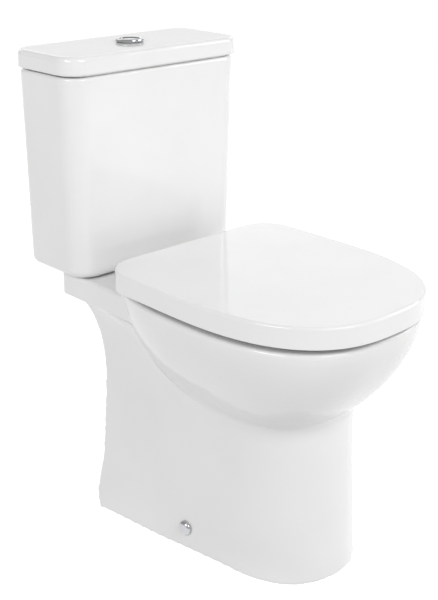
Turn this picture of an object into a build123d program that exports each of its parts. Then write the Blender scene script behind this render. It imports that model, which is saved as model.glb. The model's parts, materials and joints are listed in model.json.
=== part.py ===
from build123d import *
import os
from math import copysign, cos, pi, radians, sin, sqrt

# Close coupled toilet suite: a floor-standing pan, the cistern bolted on its shelf, and a seat
# with a cover. Millimetres. X is across, -Y is the front, +Z is up, and the origin is on the
# floor under the middle of the whole suite. Depths are distances forward from the wall face.

# ---- driving dimensions: the suite ----
OVERALL_DEPTH = 640.0
GAP = 0.3
RUN = 0.05

# ---- driving dimensions: pan ----
RIM_TOP = 409.0
BOWL_EQUATOR = 404.0
BOWL_DROP = 223.0
BOWL_PROFILE_POWER = 1.6
BOWL_HALF_WIDTH = 177.0
BOWL_FRONT, BOWL_WIDEST, BOWL_REAR = 632.0, 386.0, 146.0
BOWL_FRONT_POWER, BOWL_REAR_POWER = 2.7, 2.4
DECK_STEP = 172.0
SHELF_BOTTOM, SHELF_TOP = 360.0, 399.0
SHELF_HALF_WIDTH = 150.0
CHINA = 12.0
PAN_SPLIT = 240.0
TRAP_RADIUS = 27.0
SPIGOT_RADIUS, SPIGOT_BORE, SPIGOT_HEIGHT = 51.0, 41.0, 180.0
SPIGOT_END, SPIGOT_ROOT = 60.0, 118.0
FLUSH_AXIS = 78.0
SEAT_BOLT_X, HINGE_DEPTH, HINGE_HEIGHT = 77.5, 232.0, 430.0
COUPLING_BOLT_X = 72.0
FLOOR_FIXING_DEPTH, FLOOR_FIXING_X, SIDE_SCREW_HEIGHT = 343.0, 80.0, 34.0

# ---- driving dimensions: cistern ----
TANK_BOTTOM, TANK_TOP = 401.6, 724.5
TANK_BOTTOM_HALF, TANK_TOP_HALF = 166.2, 174.8
TANK_BOTTOM_FRONT, TANK_TOP_FRONT, TANK_BACK = 152.7, 155.8, 0.8
TANK_WALL, TANK_FLOOR = 10.0, 12.0
LID_BOTTOM, LID_TOP = 727.5, 756.5
LID_HALF, LID_FRONT = 177.6, 157.5
FILL_X, FILL_DEPTH = 126.0, 48.0
INLET_THREAD_RADIUS = 10.48

# ---- driving dimensions: seat ----
COVER_BOTTOM, COVER_TOP = 418.5, 450.0
COVER_HALF, COVER_BACK_HALF = 178.8, 177.4
COVER_BACK, COVER_WIDEST, COVER_FRONT, COVER_CORNER = 217.8, 386.0, 640.0, 54.0
COVER_POWER = 2.6
COVER_SKIN = 5.0
RING_BOTTOM, RING_TOP = 420.0, 437.5
PIN_RADIUS = 4.0

# ---- driving dimensions: push button ----
BUTTON_TURN = -30.0
BEZEL_TOP = 762.0


def wall(depth):
    """Row Y of a plane that lies this far in front of the wall."""
    return OVERALL_DEPTH / 2 - depth


def at(x, depth, z):
    return Location((x, wall(depth), z))


def tube(outer, inner, low, high, x=0.0, depth=0.0):
    """Upright ring between two heights."""
    body = at(x, depth, low) * extruded_disc(outer, high - low)
    if inner > 0:
        body -= at(x, depth, low - 1) * extruded_disc(inner, high - low + 2)
    return body


def extruded_disc(radius, height):
    return extrude(Circle(radius), height)


def rod_x(radius, x0, x1, depth, z):
    """Bar along X."""
    return Plane.YZ.offset(x0) * Location((wall(depth), z)) * extrude(Circle(radius), x1 - x0)


def block(x0, x1, depth0, depth1, z0, z1):
    """Box from corner to corner, with depths measured from the wall."""
    size = (x1 - x0, abs(depth1 - depth0), z1 - z0)
    return at((x0 + x1) / 2, (depth0 + depth1) / 2, (z0 + z1) / 2) * Box(*size)


def both_sides(piece):
    """A piece and its mirror image across the middle plane, as two solids of one node."""
    return Compound([piece, mirror(piece, Plane.YZ)])


def save(piece, name):
    export_step(piece, f"parts/{name}.step")


# ------------------------------------------------------------------ outlines

def egg(z, half_width, front, rear, widest, front_power, rear_power, count=36):
    """Egg-shaped face at height z: a superellipse whose front and rear halves differ."""
    points = []
    for step in range(count):
        angle = 2 * pi * step / count
        power = front_power if sin(angle) > 0 else rear_power
        across = copysign(abs(cos(angle)) ** (2 / power), cos(angle))
        along = copysign(abs(sin(angle)) ** (2 / power), sin(angle))
        reach = front - widest if along > 0 else widest - rear
        points.append((half_width * across, wall(widest + reach * along)))
    return Pos(0, 0, z) * make_face(Spline(*points, periodic=True))


def bowl_egg(z):
    """Section of the bowl's outside, which narrows downwards along a superellipse."""
    fall = max(BOWL_EQUATOR - z, 0) / BOWL_DROP
    scale = (1 - fall ** BOWL_PROFILE_POWER) ** (1 / BOWL_PROFILE_POWER)
    return egg(
        z,
        BOWL_HALF_WIDTH * scale,
        BOWL_WIDEST + (BOWL_FRONT - BOWL_WIDEST) * scale,
        BOWL_WIDEST - (BOWL_WIDEST - BOWL_REAR) * scale,
        BOWL_WIDEST,
        BOWL_FRONT_POWER,
        BOWL_REAR_POWER,
    )


def seat_outline(inset=0.0):
    """Outline of the seat cover: straight back, round back corners, superelliptic front."""
    half, back_half = COVER_HALF - inset, COVER_BACK_HALF - inset
    back, front = COVER_BACK + inset, COVER_FRONT - inset
    corner = COVER_CORNER - inset
    side = []
    for step in range(1, 10):
        angle = pi / 2 * step / 10
        x = half * cos(angle) ** (2 / COVER_POWER)
        side.append((x, wall(COVER_WIDEST + (front - COVER_WIDEST) * sin(angle) ** (2 / COVER_POWER))))
    corner_end = (back_half, wall(back + corner))
    right = [corner_end, (half, wall(COVER_WIDEST)), *side, (0, wall(front))]
    left = [(-x, y) for x, y in right]
    tangents = [(0, -1), (-1, 0)]
    edges = [
        Line((corner - back_half, wall(back)), (back_half - corner, wall(back))),
        RadiusArc((back_half - corner, wall(back)), corner_end, corner),
        Spline(*right, tangents=tangents),
        Spline(*left, tangents=[(0, -1), (1, 0)]),
        RadiusArc(left[0], (corner - back_half, wall(back)), corner),
    ]
    return make_face(edges)


def box_outline(half_width, back, front, back_radius, front_radius):
    """Rectangle in plan with round corners, back edge against the wall."""
    y0, y1 = wall(front), wall(back)
    face = Pos(0, (y0 + y1) / 2) * Rectangle(2 * half_width, y1 - y0)
    corners = face.vertices().sort_by(Axis.Y)
    face = fillet(corners[2:], back_radius)
    corners = face.vertices().sort_by(Axis.Y)
    return fillet(corners[:2], front_radius)


# ------------------------------------------------------------------ pan

# height; half width at the back edge, beside the bowl and at the nose; depth of back edge and nose
PEDESTAL_SECTIONS = [
    (0, 149, 136, 110, 156, 552),
    (70, 138.5, 128, 106, 152, 549),
    (140, 127.5, 119.5, 103, 149.5, 547),
    (205, 118, 112.5, 101, 143, 545),
    (265, 115, 111, 100.5, 137, 544),
    (300, 116.5, 114.5, 100, 128, 543),
    (330, 122, 123, 100, 117, 541),
    (SHELF_BOTTOM, 136, 147, 100, 99, 540),
]
NOSE_START = 440.0
BESIDE_BOWL = 250.0


def pedestal_section(z, back_half, mid_half, nose_half, back, nose, inset=0.0, open_back=False):
    """Plan section of the pedestal: straight back, nearly straight sides, round nose."""
    back_half, mid_half, nose_half = back_half - inset, mid_half - inset, nose_half - inset
    nose -= inset
    back = 40.0 if open_back else back
    right = [(back_half, wall(back)), (mid_half, wall(BESIDE_BOWL)), (nose_half, wall(NOSE_START))]
    left = [(-x, y) for x, y in right]
    pull = 0.6 * (nose - NOSE_START)
    reach = 0.58 * nose_half
    tip = (0, wall(nose))
    edges = [
        Line(left[0], right[0]),
        Spline(*right, tangents=[(right[1][0] - back_half, right[1][1] - right[0][1]), (-0.12, -1)]),
        Bezier(right[2], (nose_half - 0.12 * pull, right[2][1] - pull), (reach, tip[1]), tip),
        Bezier(tip, (-reach, tip[1]), (0.12 * pull - nose_half, right[2][1] - pull), left[2]),
        Spline(*reversed(left), tangents=[(-0.12, 1), (left[0][0] - left[1][0], left[0][1] - left[1][1])]),
    ]
    return Pos(0, 0, z) * make_face(edges)


def pedestal(inset=0.0, open_back=False):
    return loft([pedestal_section(*row, inset=inset, open_back=open_back) for row in PEDESTAL_SECTIONS])


def shelf():
    """Slab that carries the cistern; its back corners are cut away to clear the water inlet."""
    half = SHELF_HALF_WIDTH
    plan = [(half, 300), (half, 79), (48, 21), (-48, 21), (-half, 79), (-half, 300)]
    face = make_face(Polyline(*[(x, wall(depth)) for x, depth in plan], close=True))
    rear = face.vertices().sort_by(Axis.Y)[2:]
    slab = Pos(0, 0, SHELF_BOTTOM) * extrude(fillet(rear, 9), SHELF_TOP - SHELF_BOTTOM)
    slab = fillet(slab.faces().sort_by(Axis.Z)[-1].edges(), 3)
    return fillet(slab.faces().sort_by(Axis.Z)[0].edges(), 4)


def bowl_outside():
    levels = [236, 250, 268, 290, 320, 350, 380, 396, BOWL_EQUATOR]
    lower = loft([bowl_egg(z) for z in levels])
    rim = extrude(bowl_egg(BOWL_EQUATOR), RIM_TOP - BOWL_EQUATOR)
    rim = fillet(rim.faces().sort_by(Axis.Z)[-1].edges(), 4.5)
    return lower + rim - block(-200, 200, 0, DECK_STEP, SHELF_TOP - 1, RIM_TOP + 1)


# height, half width, front and rear depth of the inside of the bowl below the rim
BOWL_SECTIONS = [
    (96, 30, 398, 332),
    (150, 38, 420, 320),
    (200, 54, 462, 306),
    (240, 78, 503, 292),
    (280, 108, 549, 280),
    (320, 136, 583, 270),
    (377, 156, 610, 266),
]
RIM_LIP = 377.0
OPENING_HALF, OPENING_FRONT, OPENING_REAR, OPENING_WIDEST = 118.0, 588.0, 286.0, 436.0


def bowl_inside(grow=0.0):
    sections = []
    for z, half, front, rear in BOWL_SECTIONS:
        middle = rear + 0.45 * (front - rear)
        sections.append(egg(z, half + grow, front + grow, rear - grow, middle, 2.3, 2.3))
    return loft(sections)


def rim_opening(grow=0.0):
    front, rear = OPENING_FRONT + grow, OPENING_REAR - grow
    face = egg(RIM_LIP - 6, OPENING_HALF + grow, front, rear, OPENING_WIDEST, 2.3, 2.3)
    return extrude(face, RIM_TOP - RIM_LIP + 12)


def trap_path():
    """Centre line of the trapway, from the sump over the weir to the outlet."""
    points = [(372, 124), (276, 120), (226, 228), (150, 203), (104, 182)]
    corners = [(0, wall(depth), z) for depth, z in points]
    return FilletPolyline(*corners, radius=[38, 38, 60])


def trap_tube(radius):
    path = trap_path()
    start = Plane(origin=path @ 0, z_dir=path % 0)
    return sweep(start * Circle(radius), path=path)


def outlet(radius, start, end):
    mouth = Plane(origin=(0, wall(start), SPIGOT_HEIGHT), z_dir=(0, -1, 0))
    return extrude(mouth * Circle(radius), end - start)


def flush_inlet():
    """Recess for the coupling gasket, and the water channel forward into the bowl."""
    recess = tube(50, 0, 374, SHELF_TOP + 2, 0, FLUSH_AXIS)
    channel = block(-26, 26, 52, OPENING_REAR - 10, 368, 388)
    return recess + fillet(channel.edges().filter_by(Axis.Z), 20)


def pan_shell():
    """China without its water passages: the bowl, and the pedestal and shelf that run into its wall."""
    bowl = bowl_outside() - bowl_inside() - rim_opening()
    half_wall = CHINA / 2
    base = pedestal() - bowl_inside(grow=half_wall)
    deck = shelf() - bowl_inside(grow=half_wall) - rim_opening(grow=half_wall)
    return bowl + base + deck


def pedestal_hollow():
    """Open space inside the pedestal and behind the bowl, around the trapway."""
    hollow = pedestal(inset=CHINA, open_back=True)
    low = block(-200, 200, 0, 600, -5, 230)
    rear = block(-200, 200, 0, 250, 229, 346)
    hollow = hollow & (low + rear)
    hollow -= bowl_inside(grow=CHINA - 2)
    hollow -= trap_tube(TRAP_RADIUS + CHINA - 2)
    return hollow - outlet(SPIGOT_RADIUS, SPIGOT_END, SPIGOT_ROOT)


def make_pan():
    """The whole casting. It is saved as two nodes that meet at PAN_SPLIT."""
    body = pan_shell() - pedestal_hollow()
    passage = trap_tube(TRAP_RADIUS) + outlet(SPIGOT_BORE, SPIGOT_END - 1, SPIGOT_ROOT + 2)
    pipe = trap_tube(TRAP_RADIUS + CHINA - 2) - bowl_inside(grow=CHINA / 2)
    body += outlet(SPIGOT_RADIUS, SPIGOT_END, SPIGOT_ROOT) + pipe
    body -= passage
    body -= flush_inlet()
    for side in (-1, 1):
        body -= tube(6.5, 0, 340, RIM_TOP + 2, side * SEAT_BOLT_X, HINGE_DEPTH)
        body -= tube(5.5, 0, SHELF_BOTTOM - 20, SHELF_TOP + 2, side * COUPLING_BOLT_X, FLUSH_AXIS)
    screw_hole = SIDE_PLANE * Pos(0, 0, -30) * extruded_disc(4.5, 40)
    return body - screw_hole - mirror(screw_hole, Plane.YZ)


# ------------------------------------------------------------------ pan fixings

def side_plane():
    """Plane that lies on the pedestal's side at the side screw, facing out."""
    ray = Axis((0, wall(FLOOR_FIXING_DEPTH), SIDE_SCREW_HEIGHT), (1, 0, 0))
    point, normal = max(pedestal().find_intersection_points(ray), key=lambda hit: hit[0].X)
    return Plane(origin=point, x_dir=(0, 1, 0), z_dir=normal)


SIDE_PLANE = side_plane()
BRACKET_FACE = SIDE_PLANE.origin.X - CHINA - 6


def make_floor_bracket():
    """L-shaped plastic block: its foot is screwed to the floor, its wall takes the side screw."""
    foot = block(BRACKET_FACE - 34, BRACKET_FACE, 323, 363, 0, 8)
    upright = block(BRACKET_FACE - 10, BRACKET_FACE, 323, 363, 0, 52)
    body = foot + upright
    body -= tube(4.0, 0, -1, 10, FLOOR_FIXING_X, FLOOR_FIXING_DEPTH)
    return body - SIDE_PLANE * Pos(0, 0, -40) * extruded_disc(2.2, 40)


def make_floor_screw():
    shank = tube(3.5, 0, 0, 8, FLOOR_FIXING_X, FLOOR_FIXING_DEPTH)
    head = tube(8, 0, 8, 13, FLOOR_FIXING_X, FLOOR_FIXING_DEPTH)
    head = fillet(head.faces().sort_by(Axis.Z)[-1].edges(), 2)
    low, high = FLOOR_FIXING_DEPTH - 0.8, FLOOR_FIXING_DEPTH + 0.8
    return shank + head - block(FLOOR_FIXING_X - 6, FLOOR_FIXING_X + 6, low, high, 11.5, 14)


def make_side_screw():
    """Screw through the pan's wall into the bracket, square to the wall, under its cap."""
    shank = SIDE_PLANE * Pos(0, 0, -30) * extruded_disc(2.15, 30.5)
    head = SIDE_PLANE * Pos(0, 0, 0.5) * extruded_disc(6.0, 2.7)
    return shank + head


def make_side_cap():
    """Chromed dome that snaps over the side screw's head."""
    dome = SIDE_PLANE * Pos(0, 0, 0.2) * extruded_disc(11.5, 7)
    rim = dome.edges().sort_by(lambda edge: (edge.center() - SIDE_PLANE.origin).dot(SIDE_PLANE.z_dir))[-1]
    dome = fillet(rim, 5.5)
    return dome - SIDE_PLANE * Pos(0, 0, 0) * extruded_disc(7, 4.2)


# ------------------------------------------------------------------ coupling of tank to pan

def make_coupling_plate():
    face = Pos(0, wall(FLUSH_AXIS)) * RectangleRounded(2 * COUPLING_BOLT_X + 36, 76, 16)
    plate = Pos(0, 0, SHELF_TOP) * extrude(face, TANK_BOTTOM - SHELF_TOP)
    plate -= tube(33, 0, SHELF_TOP - 1, TANK_BOTTOM + 1, 0, FLUSH_AXIS)
    for side in (-1, 1):
        plate -= tube(5.0, 0, SHELF_TOP - 1, TANK_BOTTOM + 1, side * COUPLING_BOLT_X, FLUSH_AXIS)
    return plate


def hexagon(across_flats, low, high, x, depth):
    return at(x, depth, low) * extrude(RegularPolygon(across_flats / sqrt(3), 6), high - low)


def wing_nut(x, depth, top, bore):
    """Two-winged nut whose flat face looks up."""
    hub = tube(9, bore, -12, 0)
    wings = block(-21, -6, -1.5, 1.5, -18, -3) + block(6, 21, -1.5, 1.5, -18, -3)
    wings = fillet(wings.edges().filter_by(Axis.Y), 4)
    return at(x, depth, top) * Pos(0, -wall(0), 0) * (hub + wings)


def make_coupling_bolt(x):
    floor = TANK_BOTTOM + TANK_FLOOR
    shank = tube(4.0, 0, SHELF_BOTTOM - 30, floor + 4, x, FLUSH_AXIS)
    return shank + hexagon(13, floor + 4, floor + 9.5, x, FLUSH_AXIS)


# ------------------------------------------------------------------ cistern

def make_tank():
    low = Pos(0, 0, TANK_BOTTOM) * box_outline(TANK_BOTTOM_HALF, TANK_BACK, TANK_BOTTOM_FRONT, 30, 38)
    high = Pos(0, 0, TANK_TOP) * box_outline(TANK_TOP_HALF, TANK_BACK, TANK_TOP_FRONT, 32, 39)
    tank = loft([low, high], ruled=True)
    tank = fillet(tank.faces().sort_by(Axis.Z)[-1].edges(), 4)
    tank = fillet(tank.faces().sort_by(Axis.Z)[0].edges(), 13)
    inside = []
    for z, half, front in ((TANK_BOTTOM + TANK_FLOOR, TANK_BOTTOM_HALF, TANK_BOTTOM_FRONT),
                           (TANK_TOP + 1, TANK_TOP_HALF, TANK_TOP_FRONT)):
        face = box_outline(half - TANK_WALL, TANK_BACK + TANK_WALL, front - TANK_WALL, 22, 28)
        inside.append(Pos(0, 0, z) * face)
    tank -= loft(inside, ruled=True)
    tank -= tube(32, 0, TANK_BOTTOM - 1, TANK_BOTTOM + 20, 0, FLUSH_AXIS)
    tank -= tube(12, 0, TANK_BOTTOM - 1, TANK_BOTTOM + 20, FILL_X, FILL_DEPTH)
    for side in (-1, 1):
        tank -= tube(5.5, 0, TANK_BOTTOM - 1, TANK_BOTTOM + 20, side * COUPLING_BOLT_X, FLUSH_AXIS)
    return tank


def make_tank_lid():
    """Ceramic lid: a lip rests on the tank's rim and leaves the shadow gap; a skirt locates it."""
    lid = extrude(box_outline(LID_HALF, 0, LID_FRONT, 31, 36), LID_TOP - LID_BOTTOM)
    lid = Pos(0, 0, LID_BOTTOM) * lid
    lid = fillet(lid.faces().sort_by(Axis.Z)[-1].edges(), 8)
    lip = extrude(box_outline(167.5, 5.5, TANK_TOP_FRONT - 5, 27, 34), LID_BOTTOM - TANK_TOP + 2)
    skirt = extrude(box_outline(160.0, 13.5, TANK_TOP_FRONT - 12, 20, 26), LID_BOTTOM - TANK_TOP + 12)
    lid += Pos(0, 0, TANK_TOP) * lip
    lid += Pos(0, 0, TANK_TOP - 10) * skirt
    hollow = extrude(box_outline(152.0, 21.5, TANK_TOP_FRONT - 20, 14, 20), LID_TOP - 11 - (TANK_TOP - 11))
    lid -= Pos(0, 0, TANK_TOP - 11) * hollow
    lid -= tube(20, 0, LID_TOP - 20, LID_TOP + 1, 0, FLUSH_AXIS)
    return lid


# ------------------------------------------------------------------ flush valve

VALVE_FLOOR = TANK_BOTTOM + TANK_FLOOR
LEVER_PIVOT, LEVER_END = 24.0, 40.0
CAGE_TOP = 566.0
LEVER_HEIGHT = 596.0


def turned(piece):
    """Turn a piece of the flush mechanism with the button, about the valve's own axis."""
    return at(0, FLUSH_AXIS, 0) * Rot(0, 0, BUTTON_TURN) * piece


def centred(outer, inner, low, high):
    """Ring about the valve's own axis, before it is put in place."""
    body = Pos(0, 0, low) * extruded_disc(outer, high - low)
    if inner > 0:
        body -= Pos(0, 0, low - 1) * extruded_disc(inner, high - low + 2)
    return body


def bar(x0, x1, y0, y1, z0, z1):
    """Box from corner to corner about the valve's own axis."""
    return Pos((x0 + x1) / 2, (y0 + y1) / 2, (z0 + z1) / 2) * Box(x1 - x0, y1 - y0, z1 - z0)


def make_valve_body():
    """Threaded outlet that passes through the tank's floor, with its seat on top."""
    tail = centred(31, 25, 379, VALVE_FLOOR + 2)
    flange = centred(42, 25, VALVE_FLOOR + 2, VALVE_FLOOR + 6)
    seat = centred(28, 25, VALVE_FLOOR + 6, VALVE_FLOOR + 9)
    return turned(tail + flange + seat)


def make_valve_cage():
    """Slotted housing with the plate and the two ears that carry the lift lever."""
    low = VALVE_FLOOR + 6
    wall_ring = centred(38, 34.5, low, CAGE_TOP)
    for turn in range(0, 180, 45):
        window = Rot(0, 0, turn + 22.5) * bar(-60, 60, -9, 9, low + 6, low + 46)
        wall_ring -= window
    top = centred(38, 14.5, CAGE_TOP, CAGE_TOP + 4)
    top -= bar(-6, 6, 15, 50, CAGE_TOP - 1, CAGE_TOP + 5)
    ears = bar(-12, -8, 17, 31, CAGE_TOP + 4, LEVER_HEIGHT + 5)
    ears += bar(8, 12, 17, 31, CAGE_TOP + 4, LEVER_HEIGHT + 5)
    return turned(wall_ring + top + ears - lever_bore(2.0))


def lever_bore(radius):
    return Plane.YZ.offset(-14) * Location((LEVER_PIVOT, LEVER_HEIGHT)) * extrude(Circle(radius), 28)


def make_lever_pin():
    pin = Plane.YZ.offset(-12.5) * Location((LEVER_PIVOT, LEVER_HEIGHT)) * extrude(Circle(2), 25)
    return turned(pin)


def make_lift_lever():
    """Rocker: the full-flush rod presses its inner end, its outer end lifts the core."""
    hub = Plane.YZ.offset(-7) * Location((LEVER_PIVOT, LEVER_HEIGHT)) * extrude(Circle(5), 14)
    inner = bar(-4, 4, 5, LEVER_PIVOT, LEVER_HEIGHT - 1, LEVER_HEIGHT + 3)
    outer = bar(-4, 4, LEVER_PIVOT, LEVER_END + 4, LEVER_HEIGHT - 2, LEVER_HEIGHT + 2)
    return turned(hub + inner + outer - lever_bore(2 + RUN))


CORE_BOTTOM = VALVE_FLOOR + 9 + 3 + GAP


def make_flush_core():
    """Overflow tube with the seal's carrier at its foot and the arm that the lever lifts."""
    stem = centred(13, 10.5, CORE_BOTTOM + 3, CAGE_TOP + 11)
    carrier = centred(31, 10.5, CORE_BOTTOM, CORE_BOTTOM + 4)
    hook = bar(-3.5, 3.5, 12, LEVER_END + 12, CAGE_TOP + 7, CAGE_TOP + 11)
    upright = bar(-3.5, 3.5, LEVER_END + 8, LEVER_END + 12, CAGE_TOP + 7, LEVER_HEIGHT + 7)
    catch = bar(-3.5, 3.5, LEVER_END - 2, LEVER_END + 12, LEVER_HEIGHT + 3, LEVER_HEIGHT + 7)
    body = stem + carrier + hook + upright + catch
    return turned(body - centred(10.5, 0, CAGE_TOP, CAGE_TOP + 20))


def make_flush_seal():
    return turned(centred(31, 11, CORE_BOTTOM - 3, CORE_BOTTOM))


def push_rod(side, foot):
    """Rod under one button, from the button's underside down to the mechanism."""
    rod = Pos(0, side * 9.0, foot) * extruded_disc(3.0, BUTTON_FACE - 12 - foot)
    return turned(rod)


# ------------------------------------------------------------------ push button

BUTTON_FACE = BEZEL_TOP - 1.6
BUTTON_RADIUS = 17.0


def make_bezel():
    """Chromed ring that stands on the lid, tapered below its rounded rim."""
    outline = Plane.XZ * make_face(Polyline(
        (17.4, 0), (21.0, 0), (23.2, 2.2), (23.8, 3.8), (23.2, 5.0), (21.6, 5.5), (18.6, 5.2), (17.4, 4.4),
        close=True))
    ring = revolve(outline, Axis.Z)
    return turned(Pos(0, 0, LID_TOP) * ring)


def make_button_sleeve():
    """Threaded plastic sleeve through the lid, with the floor that the springs stand on."""
    sleeve = centred(19, 17.4, LID_TOP - 34, LID_TOP)
    floor = centred(17.4, 0, LID_TOP - 34, LID_TOP - 31)
    for side in (-1, 1):
        floor -= Pos(0, side * 9.0, LID_TOP - 35) * extruded_disc(3.4, 6)
    return turned(sleeve + floor)


def make_clamp_nut():
    nut = centred(27, 19, LID_TOP - 18, LID_TOP - 11)
    for turn in range(0, 180, 60):
        nut -= Rot(0, 0, turn) * bar(-30, -25.5, -3, 3, LID_TOP - 19, LID_TOP - 10)
        nut -= Rot(0, 0, turn) * bar(25.5, 30, -3, 3, LID_TOP - 19, LID_TOP - 10)
    return turned(nut)


def make_button(side):
    """Half-round button: a dished chrome plate on a short plunger."""
    face = Circle(BUTTON_RADIUS) & Pos(0, side * (BUTTON_RADIUS + GAP)) * Rectangle(60, 2 * BUTTON_RADIUS)
    plate = Pos(0, 0, BUTTON_FACE - 12) * extrude(face, 12)
    dish = Pos(0, 0, BUTTON_FACE + 117.6) * Sphere(118)
    return turned(plate - dish)


def make_button_spring(side):
    """Coil spring around a push rod, between the sleeve's floor and the button."""
    pitch, height = 3.4, BUTTON_FACE - 12 - (LID_TOP - 31)
    coil = Helix(pitch, height - 1.2, 4.4)
    start = Plane(origin=coil @ 0, z_dir=coil % 0)
    wire = sweep(start * Circle(0.5), path=coil, is_frenet=True)
    return turned(Pos(0, side * 9.0, LID_TOP - 31 + 0.6) * wire)


# ------------------------------------------------------------------ fill valve

NUT_HEIGHT = 9.0
COLUMN_TOP = 646.0
FLOAT_TOP = 630.0
ARM_PIVOT, ARM_HEIGHT, ARM_LENGTH = 72.0, 660.0, 36.0
ARM_RISE = 16.1
LINK_DEPTH = ARM_PIVOT + ARM_LENGTH * cos(radians(ARM_RISE))
LINK_HEIGHT = ARM_HEIGHT + ARM_LENGTH * sin(radians(ARM_RISE))


def fill_ring(outer, inner, low, high):
    return tube(outer, inner, low, high, FILL_X, FILL_DEPTH)


def make_fill_body():
    """Shank, flange and column of the bottom-entry fill valve."""
    shank = fill_ring(INLET_THREAD_RADIUS, 6, 352, TANK_BOTTOM - NUT_HEIGHT - GAP)
    shank += fill_ring(INLET_THREAD_RADIUS - 0.2, 6, TANK_BOTTOM - NUT_HEIGHT - GAP - 1, VALVE_FLOOR + 2)
    flange = fill_ring(17, 6, VALVE_FLOOR + 2, VALVE_FLOOR + 6)
    column = fill_ring(11, 8, VALVE_FLOOR + 6, COLUMN_TOP)
    foot = fill_ring(11, 6, VALVE_FLOOR + 6, VALVE_FLOOR + 12)
    return shank + flange + column + foot


def make_fill_head():
    """Cap that holds the diaphragm, with the ears of the float arm in front of it."""
    head = fill_ring(17, 0, COLUMN_TOP, COLUMN_TOP + 22)
    head = fillet(head.faces().sort_by(Axis.Z)[-1].edges(), 3)
    for x0, x1 in ((-7, -4), (4, 7)):
        head += block(FILL_X + x0, FILL_X + x1, ARM_PIVOT - 12, ARM_PIVOT + 6, ARM_HEIGHT - 5, ARM_HEIGHT + 5)
    return head - rod_x(1.5, FILL_X - 8, FILL_X + 8, ARM_PIVOT, ARM_HEIGHT)


def make_float_arm():
    """Lever that the float's link rod moves; its slot lets the rod stay upright."""
    beam = block(FILL_X - 3.7, FILL_X + 3.7, ARM_PIVOT, ARM_PIVOT + ARM_LENGTH + 8, ARM_HEIGHT - 2, ARM_HEIGHT + 2)
    hub = rod_x(4, FILL_X - 3.7, FILL_X + 3.7, ARM_PIVOT, ARM_HEIGHT)
    slot = block(FILL_X - 2.4, FILL_X + 2.4, ARM_PIVOT + ARM_LENGTH - 5, ARM_PIVOT + ARM_LENGTH + 5,
                 ARM_HEIGHT - 3, ARM_HEIGHT + 3)
    arm = beam + hub - slot - rod_x(1.5 + RUN, FILL_X - 5, FILL_X + 5, ARM_PIVOT, ARM_HEIGHT)
    pivot = at(FILL_X, ARM_PIVOT, ARM_HEIGHT)
    return pivot * Rot(-ARM_RISE, 0, 0) * pivot.inverse() * arm


def make_float():
    """Float cup that slides on the column, with the bracket and link rod that move the arm."""
    cup = fill_ring(24, 11 + 0.8, FLOAT_TOP - 62, FLOAT_TOP)
    cup -= fill_ring(21, 14, FLOAT_TOP - 60, FLOAT_TOP - 3)
    bracket = block(FILL_X - 4, FILL_X + 4, FILL_DEPTH + 22, LINK_DEPTH + 5, FLOAT_TOP - 8, FLOAT_TOP - 4)
    link = tube(2, 0, FLOAT_TOP - 6, LINK_HEIGHT + 14, FILL_X, LINK_DEPTH)
    collars = tube(4, 0, LINK_HEIGHT - 8, LINK_HEIGHT - 4.4, FILL_X, LINK_DEPTH)
    collars += tube(4, 0, LINK_HEIGHT + 4.4, LINK_HEIGHT + 8, FILL_X, LINK_DEPTH)
    return cup + bracket + link + collars


def make_refill_tube():
    """Spout that carries the water quietly down beside the column."""
    spout = tube(5, 3.4, VALVE_FLOOR + 30, COLUMN_TOP + 10, FILL_X - 33, FILL_DEPTH)
    arm = block(FILL_X - 29, FILL_X - 17.1, FILL_DEPTH - 4, FILL_DEPTH + 4, COLUMN_TOP + 2, COLUMN_TOP + 9)
    return spout + arm


# ------------------------------------------------------------------ seat

POST = (68.0, 87.0)
RING_LUGS = ((58.5, 67.0), (88.0, 96.5))
COVER_LUGS = ((49.0, 57.5), (97.5, 106.0))
PIN_ENDS = (48.0, 107.0)
NOTCH = (48.0, 107.0)
LUG_RADIUS = 8.5


def make_hinge_post():
    """Post that stands on the pan's deck, carries the pin and ends in the fixing stud."""
    x = SEAT_BOLT_X
    flange = tube(15, 0, RIM_TOP, RIM_TOP + 3, x, HINGE_DEPTH)
    flange = fillet(flange.faces().sort_by(Axis.Z)[-1].edges(), 1.5)
    stem = block(POST[0], POST[1], HINGE_DEPTH - 7, HINGE_DEPTH + 7, RIM_TOP + 2, HINGE_HEIGHT)
    head = rod_x(8.5, POST[0], POST[1], HINGE_DEPTH, HINGE_HEIGHT)
    stud = tube(4.0, 0, 322, RIM_TOP, x, HINGE_DEPTH)
    bore = rod_x(PIN_RADIUS, POST[0] - 1, POST[1] + 1, HINGE_DEPTH, HINGE_HEIGHT)
    return flange + stem + head + stud - bore


def make_hinge_pin():
    return rod_x(PIN_RADIUS, PIN_ENDS[0], PIN_ENDS[1], HINGE_DEPTH, HINGE_HEIGHT)


def lugs(spans, z0, z1, depth0, depth1):
    """Round ears on the hinge axis, each with a web that joins it to its panel."""
    parts = []
    for x0, x1 in spans:
        for low, high in ((x0, x1), (-x1, -x0)):
            ear = rod_x(LUG_RADIUS, low, high, HINGE_DEPTH, HINGE_HEIGHT)
            parts.append(ear + block(low, high, depth0, depth1, z0, z1))
    return parts


def pin_bore():
    return rod_x(PIN_RADIUS + RUN, -PIN_ENDS[1] - 2, PIN_ENDS[1] + 2, HINGE_DEPTH, HINGE_HEIGHT)


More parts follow.
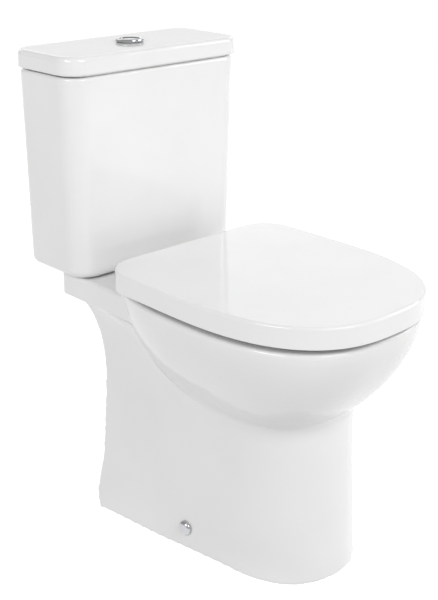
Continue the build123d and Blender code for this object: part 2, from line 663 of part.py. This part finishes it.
def make_seat_ring():
    ring = Pos(0, 0, RING_BOTTOM) * extrude(seat_outline(8.0), RING_TOP - RING_BOTTOM)
    ring = fillet(ring.faces().sort_by(Axis.Z)[-1].edges(), 6)
    hole = egg(RING_BOTTOM - 1, 108, 576, 298, 436, 2.3, 2.3)
    ring -= extrude(hole, RING_TOP - RING_BOTTOM + 2)
    ring = fillet(ring.faces().sort_by(Axis.Z)[-1].inner_wires()[0].edges(), 6)
    for side in (-1, 1):
        x0, x1 = sorted((side * NOTCH[0], side * NOTCH[1]))
        ring -= block(x0, x1, 200, HINGE_DEPTH + 20, RING_BOTTOM - 1, RING_TOP + 1)
    ring -= block(-300, 300, 200, COVER_BACK + 9.5, RING_BOTTOM - 1, RING_TOP + 1)
    for lug in lugs(RING_LUGS, HINGE_HEIGHT - 6, RING_TOP - 1, HINGE_DEPTH, HINGE_DEPTH + 21):
        ring += lug
    return ring - pin_bore()


def make_seat_cover():
    cover = Pos(0, 0, COVER_BOTTOM) * extrude(seat_outline(), COVER_TOP - COVER_BOTTOM)
    cover = fillet(cover.faces().sort_by(Axis.Z)[-1].edges(), 4)
    inside = Pos(0, 0, COVER_BOTTOM - 1) * extrude(seat_outline(COVER_SKIN), COVER_TOP - COVER_BOTTOM - 4)
    cover -= inside
    for side in (-1, 1):
        x0, x1 = sorted((side * 63.5, side * 91.5))
        cover -= block(x0, x1, 200, HINGE_DEPTH - 2, COVER_BOTTOM - 1, COVER_TOP - 9.5)
    for lug in lugs(COVER_LUGS, HINGE_HEIGHT, COVER_TOP - 4, HINGE_DEPTH - LUG_RADIUS, HINGE_DEPTH + LUG_RADIUS):
        cover += lug
    return cover - pin_bore()


def buffers(places, radius, low, high):
    """Round rubber pads, one at each place, given as half width and depth."""
    pads = []
    for x, depth in places:
        for side in (-1, 1):
            pads.append(tube(radius, 0, low, high, side * x, depth))
    return Compound(pads)


# ------------------------------------------------------------------ export

os.makedirs("parts", exist_ok=True)

china = make_pan()
below = block(-300, 300, -100, OVERALL_DEPTH + 100, -10, PAN_SPLIT)
save(china & below, "pan_pedestal")
save(china - below, "pan_bowl")
save(make_tank(), "cistern_tank")
save(make_tank_lid(), "cistern_lid")

save(both_sides(make_floor_bracket()), "floor_brackets")
save(both_sides(make_floor_screw()), "floor_screws")
save(both_sides(make_side_screw()), "side_screws")
save(both_sides(make_side_cap()), "side_screw_caps")

save(make_coupling_plate(), "coupling_plate")
save(tube(49, 39.5, 374, SHELF_TOP, 0, FLUSH_AXIS), "coupling_gasket")
save(both_sides(make_coupling_bolt(COUPLING_BOLT_X)), "coupling_bolts")
save(both_sides(tube(10, 4, VALVE_FLOOR, VALVE_FLOOR + 4, COUPLING_BOLT_X, FLUSH_AXIS)), "coupling_bolt_seals")
save(both_sides(tube(11, 4.2, SHELF_BOTTOM - 2, SHELF_BOTTOM, COUPLING_BOLT_X, FLUSH_AXIS)), "coupling_washers")
save(both_sides(wing_nut(COUPLING_BOLT_X, FLUSH_AXIS, SHELF_BOTTOM - 2, 4.0)), "coupling_wing_nuts")

save(make_valve_body(), "flush_valve_body")
save(turned(centred(40, 31, VALVE_FLOOR, VALVE_FLOOR + 2)), "flush_valve_base_seal")
save(turned(centred(38, 31, 384, SHELF_TOP)), "flush_valve_backnut")
save(make_valve_cage(), "flush_valve_cage")
save(make_flush_core(), "flush_core")
save(make_flush_seal(), "flush_seal")
save(make_lift_lever(), "lift_lever")
save(make_lever_pin(), "lift_lever_pin")

save(make_bezel(), "button_bezel")
save(make_button_sleeve(), "button_sleeve")
save(make_clamp_nut(), "button_clamp_nut")
save(make_button(1), "full_flush_button")
save(make_button(-1), "half_flush_button")
save(push_rod(1, LEVER_HEIGHT + 3 + GAP), "full_flush_rod")
save(push_rod(-1, LEVER_HEIGHT + 3 + GAP), "half_flush_rod")
save(make_button_spring(1), "full_button_spring")
save(make_button_spring(-1), "half_button_spring")

save(make_fill_body(), "fill_valve_body")
save(fill_ring(16, INLET_THREAD_RADIUS, VALVE_FLOOR, VALVE_FLOOR + 2), "fill_valve_seal")
save(hexagon(25, TANK_BOTTOM - NUT_HEIGHT, TANK_BOTTOM, FILL_X, FILL_DEPTH)
     - fill_ring(INLET_THREAD_RADIUS, 0, TANK_BOTTOM - 10, TANK_BOTTOM + 1), "fill_valve_backnut")
save(make_fill_head(), "fill_valve_head")
save(make_float(), "float_cup")
save(make_float_arm(), "float_arm")
save(rod_x(1.5, FILL_X - 7.5, FILL_X + 7.5, ARM_PIVOT, ARM_HEIGHT), "float_arm_pin")
save(make_refill_tube(), "refill_tube")

save(both_sides(make_hinge_post()), "hinge_posts")
save(both_sides(make_hinge_pin()), "hinge_pins")
save(both_sides(tube(14, 4, 344, 346, SEAT_BOLT_X, HINGE_DEPTH)), "seat_fixing_washers")
save(both_sides(wing_nut(SEAT_BOLT_X, HINGE_DEPTH, 344, 4.0)), "seat_wing_nuts")
save(make_seat_ring(), "seat_ring")
save(make_seat_cover(), "seat_cover")
save(buffers([(112, 300), (120, 520)], 9, RIM_TOP + GAP, RING_BOTTOM), "ring_buffers")
save(buffers([(60, 600), (134, 300)], 7, RING_TOP + GAP, COVER_TOP - COVER_SKIN), "cover_buffers")
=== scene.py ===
import json

import bmesh
import bpy
import numpy as np
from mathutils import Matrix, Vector


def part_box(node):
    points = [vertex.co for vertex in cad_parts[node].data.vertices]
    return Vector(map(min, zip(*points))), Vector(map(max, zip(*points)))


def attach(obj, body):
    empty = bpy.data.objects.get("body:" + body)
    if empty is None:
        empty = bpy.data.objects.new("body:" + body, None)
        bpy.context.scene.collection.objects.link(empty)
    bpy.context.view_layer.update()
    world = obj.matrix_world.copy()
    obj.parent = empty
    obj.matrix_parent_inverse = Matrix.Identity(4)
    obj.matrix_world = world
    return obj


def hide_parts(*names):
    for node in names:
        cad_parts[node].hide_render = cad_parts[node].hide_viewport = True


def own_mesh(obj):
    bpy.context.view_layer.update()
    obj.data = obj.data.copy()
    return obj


# Looks of the close coupled toilet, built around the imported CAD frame.
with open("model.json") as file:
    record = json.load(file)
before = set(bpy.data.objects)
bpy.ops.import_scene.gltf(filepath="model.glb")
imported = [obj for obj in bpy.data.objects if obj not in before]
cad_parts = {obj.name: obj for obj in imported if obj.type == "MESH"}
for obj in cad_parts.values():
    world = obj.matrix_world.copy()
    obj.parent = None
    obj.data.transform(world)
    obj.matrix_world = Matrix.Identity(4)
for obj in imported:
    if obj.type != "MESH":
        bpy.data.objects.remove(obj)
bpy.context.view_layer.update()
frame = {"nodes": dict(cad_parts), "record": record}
nodes = frame["nodes"]


# ---------------------------------------------------------------- materials

# most of a noise texture's values lie between these
NOISE_LOW, NOISE_HIGH = 0.3, 0.7


class Surface:
    """A Principled material whose colour, roughness and bump come from noise in object space."""

    def __init__(self, name, **fixed):
        self.mat = bpy.data.materials.new(name)
        self.mat.use_nodes = True
        self.tree = self.mat.node_tree
        self.shader = self.tree.nodes["Principled BSDF"]
        coords = self.tree.nodes.new("ShaderNodeTexCoord")
        self.place = coords.outputs["Object"]
        self.bump = None
        for socket, value in fixed.items():
            self.shader.inputs[socket.replace("_", " ")].default_value = value

    def noise(self, scale, detail=3.0, stretch=(1, 1, 1), kind="ShaderNodeTexNoise"):
        mapping = self.tree.nodes.new("ShaderNodeMapping")
        mapping.inputs["Scale"].default_value = stretch
        self.tree.links.new(self.place, mapping.inputs["Vector"])
        texture = self.tree.nodes.new(kind)
        texture.inputs["Scale"].default_value = scale
        if "Detail" in texture.inputs:
            texture.inputs["Detail"].default_value = detail
        self.tree.links.new(mapping.outputs["Vector"], texture.inputs["Vector"])
        return texture.outputs["Fac"] if "Fac" in texture.outputs else texture.outputs["Distance"]

    def colour(self, source, dark, light, low=0.35, high=0.65):
        ramp = self.tree.nodes.new("ShaderNodeValToRGB")
        ramp.color_ramp.elements[0].position, ramp.color_ramp.elements[1].position = low, high
        ramp.color_ramp.elements[0].color = (*dark, 1)
        ramp.color_ramp.elements[1].color = (*light, 1)
        self.tree.links.new(source, ramp.inputs["Fac"])
        self.tree.links.new(ramp.outputs["Color"], self.shader.inputs["Base Color"])
        return self

    def rough(self, source, smooth, rough):
        span = self.tree.nodes.new("ShaderNodeMapRange")
        span.inputs["From Min"].default_value, span.inputs["From Max"].default_value = NOISE_LOW, NOISE_HIGH
        span.inputs["To Min"].default_value, span.inputs["To Max"].default_value = smooth, rough
        self.tree.links.new(source, span.inputs["Value"])
        self.tree.links.new(span.outputs["Result"], self.shader.inputs["Roughness"])
        return self

    def relief(self, source, strength, distance):
        bump = self.tree.nodes.new("ShaderNodeBump")
        bump.inputs["Strength"].default_value = strength
        bump.inputs["Distance"].default_value = distance
        self.tree.links.new(source, bump.inputs["Height"])
        if self.bump:
            self.tree.links.new(self.bump, bump.inputs["Normal"])
        self.bump = bump.outputs["Normal"]
        self.tree.links.new(self.bump, self.shader.inputs["Normal"])
        return self


def glazed_china():
    s = Surface("glazed_china", IOR=1.52, Coat_Weight=0.35, Coat_Roughness=0.02)
    s.colour(s.noise(6.0), (0.80, 0.80, 0.795), (0.83, 0.83, 0.827))
    s.rough(s.noise(18.0), 0.05, 0.11)
    s.relief(s.noise(9.0, 1.0), 0.25, 0.0012)
    return s.relief(s.noise(420.0, 2.0), 0.05, 0.0001).mat


def seat_plastic():
    s = Surface("seat_plastic", IOR=1.50, Coat_Weight=0.2, Coat_Roughness=0.03)
    s.colour(s.noise(9.0), (0.81, 0.812, 0.815), (0.835, 0.837, 0.84))
    s.rough(s.noise(40.0), 0.07, 0.13)
    s.relief(s.noise(12.0, 1.0), 0.12, 0.0008)
    return s.relief(s.noise(900.0, 2.0), 0.04, 0.00005).mat


def chrome():
    s = Surface("chrome", Metallic=1.0)
    s.colour(s.noise(30.0), (0.52, 0.53, 0.54), (0.60, 0.61, 0.62))
    s.rough(s.noise(220.0, 5.0), 0.04, 0.09)
    return s.relief(s.noise(60.0, 2.0), 0.05, 0.0002).mat


def zinc_steel():
    s = Surface("zinc_steel", Metallic=1.0)
    s.colour(s.noise(260.0, kind="ShaderNodeTexVoronoi"), (0.48, 0.50, 0.52), (0.68, 0.69, 0.70), 0.1, 0.8)
    s.rough(s.noise(150.0, 5.0), 0.28, 0.45)
    return s.relief(s.noise(700.0, 4.0, (1, 1, 0.2)), 0.25, 0.0001).mat


def moulded_plastic():
    s = Surface("moulded_plastic", IOR=1.49)
    s.colour(s.noise(25.0), (0.70, 0.70, 0.67), (0.78, 0.78, 0.76))
    s.rough(s.noise(90.0, 4.0), 0.35, 0.50)
    return s.relief(s.noise(1100.0, 3.0), 0.2, 0.0001).mat


def coloured_plastic():
    s = Surface("coloured_plastic", IOR=1.49)
    s.colour(s.noise(25.0), (0.045, 0.15, 0.34), (0.07, 0.20, 0.42))
    s.rough(s.noise(90.0, 4.0), 0.32, 0.48)
    return s.relief(s.noise(1100.0, 3.0), 0.2, 0.0001).mat


def black_rubber():
    s = Surface("black_rubber")
    s.colour(s.noise(45.0, 6.0), (0.012, 0.012, 0.013), (0.035, 0.034, 0.033))
    s.rough(s.noise(120.0, 5.0), 0.55, 0.8)
    return s.relief(s.noise(800.0, 4.0), 0.4, 0.0002).mat


def clear_rubber():
    s = Surface("clear_rubber", Subsurface_Weight=0.2)
    s.colour(s.noise(45.0, 4.0), (0.60, 0.60, 0.57), (0.70, 0.70, 0.68))
    s.rough(s.noise(120.0, 5.0), 0.35, 0.5)
    return s.relief(s.noise(800.0, 3.0), 0.2, 0.0001).mat


MATERIALS = {
    maker.__name__: maker()
    for maker in (glazed_china, seat_plastic, chrome, zinc_steel, moulded_plastic, coloured_plastic,
                  black_rubber, clear_rubber)
}
SLOTS = {part["node"]: part["material_slot"] for part in frame["record"]["subparts"]}
for name, node in nodes.items():
    for place in node.material_slots:
        place.material = MATERIALS[SLOTS[name]]


# ---------------------------------------------------------------- china

def neighbour_means(mesh):
    """Function that gives, for each vertex, the mean of its neighbours' values."""
    ends = np.empty(len(mesh.edges) * 2, np.int64)
    mesh.edges.foreach_get("vertices", ends)
    a, b = ends[0::2], ends[1::2]
    count = np.bincount(ends, minlength=len(mesh.vertices)).clip(1)

    def summed(column):
        return np.bincount(a, column[b], len(column)) + np.bincount(b, column[a], len(column))

    def neighbours(values):
        return np.stack([summed(values[:, k]) for k in range(3)], axis=1) / count[:, None]
    return neighbours


def outward(mesh):
    normals = np.empty(len(mesh.vertices) * 3)
    mesh.vertices.foreach_get("normal", normals)
    return normals.reshape(-1, 3)


# metres: how near the seam a face lies flat on it, and how near vertices merge
SEAM_REACH, MERGE_REACH = 1e-5, 1e-6


def joined(parts):
    """One mesh of CAD nodes that meet face to face, without the faces where they meet."""
    whole = bmesh.new()
    for part in parts:
        whole.from_mesh(nodes[part].data)
    if len(parts) > 1:
        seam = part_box(parts[0])[1].z
        hidden = [f for f in whole.faces if all(abs(v.co.z - seam) < SEAM_REACH for v in f.verts)]
        bmesh.ops.delete(whole, geom=hidden, context="FACES")
    bmesh.ops.remove_doubles(whole, verts=whole.verts, dist=MERGE_REACH)
    mesh = bpy.data.meshes.new("joined")
    whole.to_mesh(mesh)
    whole.free()
    return mesh


# share of the pull that a round of filling takes, and the rounds between two looks at the normals
FILL_STEP, NORMALS_EVERY = 0.8, 5
# rounds that spread and blend a filled corner, and the fill in metres that is blended fully
FILL_SPREAD, FILL_BLEND, FILL_FULL = 10, 40, 0.0004
# shares of a smoothing step and of the step back that keeps the shape from shrinking
SMOOTH, UNSHRINK = 0.5, 0.52
# rounds of evening out for each piece, and of filling for the crease
EVEN_ROUNDS, CREASE_ROUNDS = 14, 90


def glazed_copy(parts, name, voxel, fill_rounds=0, fill_where=None):
    """Copy of CAD nodes in an even mesh, with rounded edges and inner corners filled as glaze does."""
    shape = bpy.data.objects.new("shape", joined(parts))
    piece = bpy.data.objects.new(name, shape.data.copy())
    bpy.context.scene.collection.objects.link(shape)
    bpy.context.scene.collection.objects.link(piece)
    remesh = piece.modifiers.new("even", "REMESH")
    remesh.mode, remesh.voxel_size = "VOXEL", voxel
    fit = piece.modifiers.new("fit", "SHRINKWRAP")
    fit.target, fit.wrap_method = shape, "NEAREST_SURFACEPOINT"
    mesh = bpy.data.meshes.new_from_object(piece.evaluated_get(bpy.context.evaluated_depsgraph_get()))
    piece.modifiers.clear()
    piece.data = mesh
    bpy.data.objects.remove(shape)
    neighbours = neighbour_means(mesh)
    spots = np.empty(len(mesh.vertices) * 3)
    mesh.vertices.foreach_get("co", spots)
    spots = spots.reshape(-1, 3)
    start = spots.copy()
    for turn in range(fill_rounds):
        if turn % NORMALS_EVERY == 0:
            mesh.vertices.foreach_set("co", spots.ravel())
            mesh.update()
            normals = outward(mesh)
            weight = fill_where(start)
        pull = neighbours(spots) - spots
        rise = np.einsum("ij,ij->i", pull, normals)
        spots += FILL_STEP * (weight * np.maximum(rise, 0))[:, None] * normals
    if fill_rounds:
        filled = np.repeat(np.linalg.norm(spots - start, axis=1)[:, None], 3, axis=1)
        for _ in range(FILL_SPREAD):
            filled = neighbours(filled)
        filled = np.clip(filled / FILL_FULL, 0, 1)
        for _ in range(FILL_BLEND):
            spots += SMOOTH * filled * (neighbours(spots) - spots)
    for _ in range(EVEN_ROUNDS):
        spots += SMOOTH * (neighbours(spots) - spots)
        spots -= UNSHRINK * (neighbours(spots) - spots)
    mesh.vertices.foreach_set("co", spots.ravel())
    mesh.update()
    mesh.shade_smooth()
    mesh.materials.clear()
    mesh.materials.append(MATERIALS["glazed_china"])
    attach(piece, "root")
    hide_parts(*parts)


# heights where the crease stops being filled and where it is filled fully
CREASE_TOP, CREASE_SOFT = 0.34, 0.20
# the outside lies further out to the sides, or further forward, than these
OUTSIDE_X, OUTSIDE_Y = 0.05, -0.20


def belly_crease(spots):
    """How much the outside's inner corners fill: fully at the belly, and not at the rim."""
    height = np.clip((CREASE_TOP - spots[:, 2]) / (CREASE_TOP - CREASE_SOFT), 0, 1)
    outside = (np.abs(spots[:, 0]) > OUTSIDE_X) | (spots[:, 1] < OUTSIDE_Y)
    return height * outside


VOXEL, LID_VOXEL = 0.0026, 0.0024
glazed_copy(["pan_pedestal", "pan_bowl"], "pan_china", VOXEL, CREASE_ROUNDS, belly_crease)
glazed_copy(["cistern_tank"], "tank_china", VOXEL)
glazed_copy(["cistern_lid"], "lid_china", LID_VOXEL)


# ---------------------------------------------------------------- button springs

def pressed_spring(node):
    """Spring under a button, copied from its CAD node into a mesh of its own."""
    piece = bpy.data.objects.new(node + "_coil", nodes[node].data.copy())
    bpy.context.scene.collection.objects.link(piece)
    piece.data.materials.clear()
    piece.data.materials.append(MATERIALS[SLOTS[node]])
    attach(piece, "root")
    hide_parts(node)
    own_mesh(piece)


pressed_spring("full_button_spring")
pressed_spring("half_button_spring")


# ---------------------------------------------------------------- stage

def plain_plane(name, size):
    mesh = bpy.data.meshes.new(name)
    h = size / 2
    mesh.from_pydata([(-h, -h, 0), (h, -h, 0), (h, h, 0), (-h, h, 0)], [], [(0, 1, 2, 3)])
    plane = bpy.data.objects.new(name, mesh)
    bpy.context.scene.collection.objects.link(plane)
    return plane


FLOOR_SIZE, FLOOR_GREY, FLOOR_GLOW = 30, 0.32, 0.86
floor = plain_plane("floor", FLOOR_SIZE)
paint = bpy.data.materials.new("floor_paint")
paint.use_nodes = True
floor_shader = paint.node_tree.nodes["Principled BSDF"]
floor_shader.inputs["Base Color"].default_value = (FLOOR_GREY, FLOOR_GREY, FLOOR_GREY, 1)
floor_shader.inputs["Roughness"].default_value = 0.9
floor_shader.inputs["Specular IOR Level"].default_value = 0.0
floor_shader.inputs["Emission Color"].default_value = (1, 1, 1, 1)
floor_shader.inputs["Emission Strength"].default_value = FLOOR_GLOW
floor.data.materials.append(paint)
floor.visible_diffuse = False


# ---------------------------------------------------------------- light and camera

def softbox(name, place, aim, width, height, power):
    light = bpy.data.lights.new(name, "AREA")
    light.shape, light.size, light.size_y, light.energy = "RECTANGLE", width, height, power
    box = bpy.data.objects.new(name, light)
    box.location = place
    box.rotation_euler = (Vector(aim) - Vector(place)).to_track_quat("-Z", "Y").to_euler()
    bpy.context.scene.collection.objects.link(box)
    return box


softbox("key", (-0.2, -3.0, 2.6), (0, 0, 0.4), 1.8, 1.8, 38)
softbox("left", (-3.2, -0.6, 2.4), (0, 0, 0.4), 1.6, 1.6, 50)
softbox("right", (2.8, -1.6, 2.0), (0, 0, 0.4), 1.6, 1.8, 34)
softbox("front_low", (1.4, -2.6, 0.45), (0.05, 0, 0.25), 1.6, 0.6, 10).visible_glossy = False
softbox("back_wall", (1.9, 2.4, 1.95), (0, 0, 0.5), 5.0, 1.2, 15)
softbox("back_low", (1.9, 2.4, 1.00), (0, 0, 0.9), 5.0, 0.74, 5)

# brightness of the studio from straight down (0) through the horizon (0.5) to straight up (1)
STUDIO = [(0.0, 0.74), (0.45, 0.86), (0.58, 0.98), (0.66, 0.46), (1.0, 0.38)]
world = bpy.data.worlds.new("studio")
world.use_nodes = True
sky = world.node_tree
direction = sky.nodes.new("ShaderNodeTexCoord")
split = sky.nodes.new("ShaderNodeSeparateXYZ")
height = sky.nodes.new("ShaderNodeMapRange")
height.inputs["From Min"].default_value, height.inputs["From Max"].default_value = -1, 1
shade = sky.nodes.new("ShaderNodeValToRGB")
for step, (spot, grey) in enumerate(STUDIO):
    stops = shade.color_ramp.elements
    stop = stops[0] if step == 0 else stops[1] if step == len(STUDIO) - 1 else stops.new(spot)
    stop.position, stop.color = spot, (grey, grey, grey, 1)
sky.links.new(direction.outputs["Generated"], split.inputs["Vector"])
sky.links.new(split.outputs["Z"], height.inputs["Value"])
sky.links.new(height.outputs["Result"], shade.inputs["Fac"])
ray = sky.nodes.new("ShaderNodeLightPath")
seen = sky.nodes.new("ShaderNodeMixRGB")
seen.inputs["Color2"].default_value = (1, 1, 1, 1)
sky.links.new(ray.outputs["Is Camera Ray"], seen.inputs["Fac"])
sky.links.new(shade.outputs["Color"], seen.inputs["Color1"])
sky.links.new(seen.outputs["Color"], sky.nodes["Background"].inputs["Color"])
sky.nodes["Background"].inputs["Strength"].default_value = 1.0
bpy.context.scene.world = world
bpy.context.scene.view_settings.view_transform = "Standard"

CAMERA_PLACE = Vector((-1.1611, -1.2203, 1.0364))
CAMERA_AIM = Vector((-0.0365, -0.0100, 0.5502))
camera_data = bpy.data.cameras.new("camera")
camera_data.sensor_width, camera_data.lens = 36, 69
camera_data.shift_y = -0.1667
camera = bpy.data.objects.new("camera", camera_data)
camera.location = CAMERA_PLACE
camera.rotation_euler = (CAMERA_AIM - CAMERA_PLACE).to_track_quat("-Z", "Y").to_euler()
bpy.context.scene.collection.objects.link(camera)
bpy.context.scene.camera = camera
